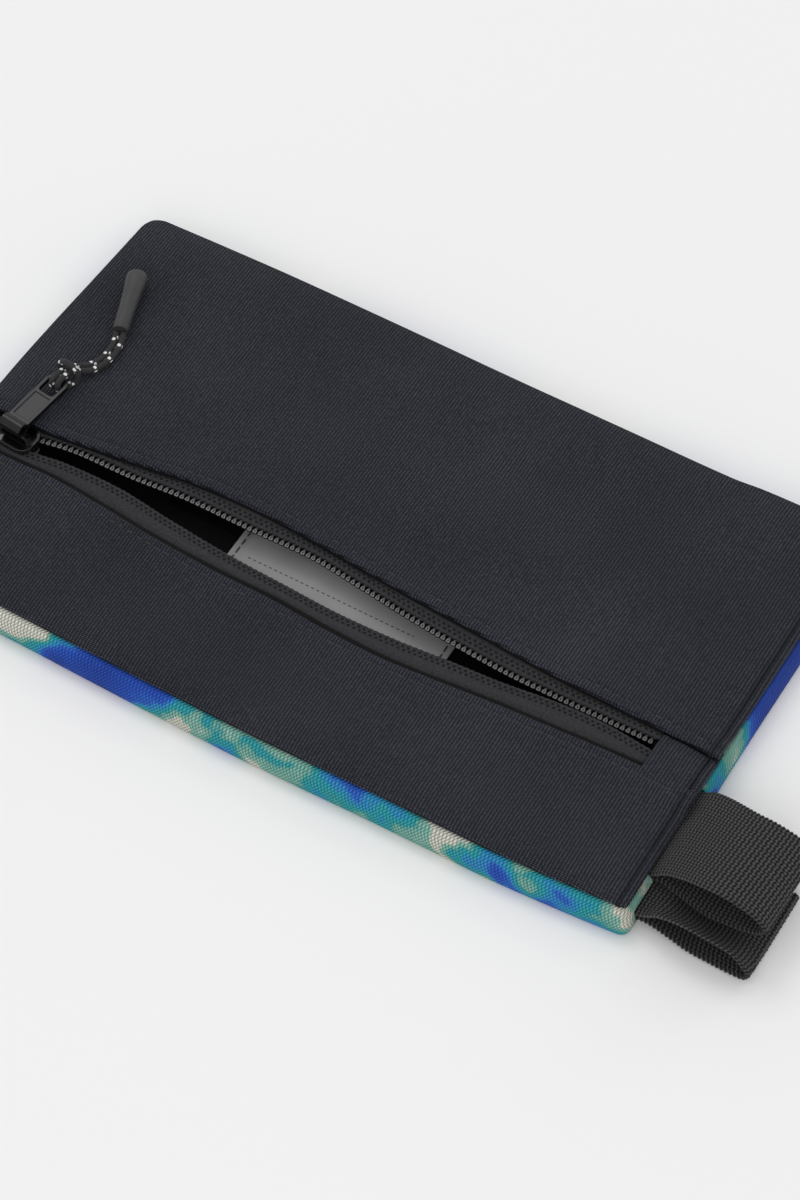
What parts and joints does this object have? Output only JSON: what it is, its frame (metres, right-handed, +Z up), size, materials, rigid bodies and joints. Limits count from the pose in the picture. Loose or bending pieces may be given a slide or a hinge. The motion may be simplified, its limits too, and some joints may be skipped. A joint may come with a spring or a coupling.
{
  "type": "pencil case",
  "caption": "Flat zip pencil case in canvas, lying on its back with the zip partly open, a hinged metal pull with a hitched cord, and webbing loops in one end seam.",
  "frame": {"origin": "centre of the underside, on the ground the case lies on", "axes": "+X along the zip towards the end with the webbing loops, +Y to the far long side, +Z up out of the zip side"},
  "size_m": [0.2334, 0.126, 0.019],
  "materials": {
    "black_canvas": "matt plain-weave cotton canvas",
    "printed_canvas": "matt plain-weave canvas, printed all over in mottled blues and greens",
    "zip_tape": "fine woven polyester tape",
    "zip_teeth": "satin nylon coil",
    "gunmetal": "satin dark plated metal",
    "cord": "braided black cord with pale flecks",
    "rubber_end": "matt moulded rubber",
    "label_ribbon": "smooth grey woven ribbon with a row of printed dashes",
    "webbing": "ribbed black webbing"
  },
  "bodies": {
    "case": {"back_panel": "printed_canvas", "far_panel": "black_canvas", "near_panel": "black_canvas", "zip_end_right": "black_canvas", "zip_end_left": "black_canvas", "zip_tape_far": "zip_tape", "zip_tape_near": "zip_tape", "zip_teeth_far": "zip_teeth", "zip_teeth_near": "zip_teeth", "zip_slider": "gunmetal", "name_label": "label_ribbon", "loop_upper": "webbing", "loop_lower": "webbing"},
    "pull": {"pull_tab": "gunmetal", "pull_cord": "cord", "pull_end": "rubber_end"}
  },
  "joints": [
    {"name": "pull_hinge", "type": "hinge", "parent": "case", "child": "pull", "pos_m": [-0.0886, -0.01543, 0.01295], "axis": [0.9925, -0.1219, 0], "range_deg": [0, 165]}
  ]
}
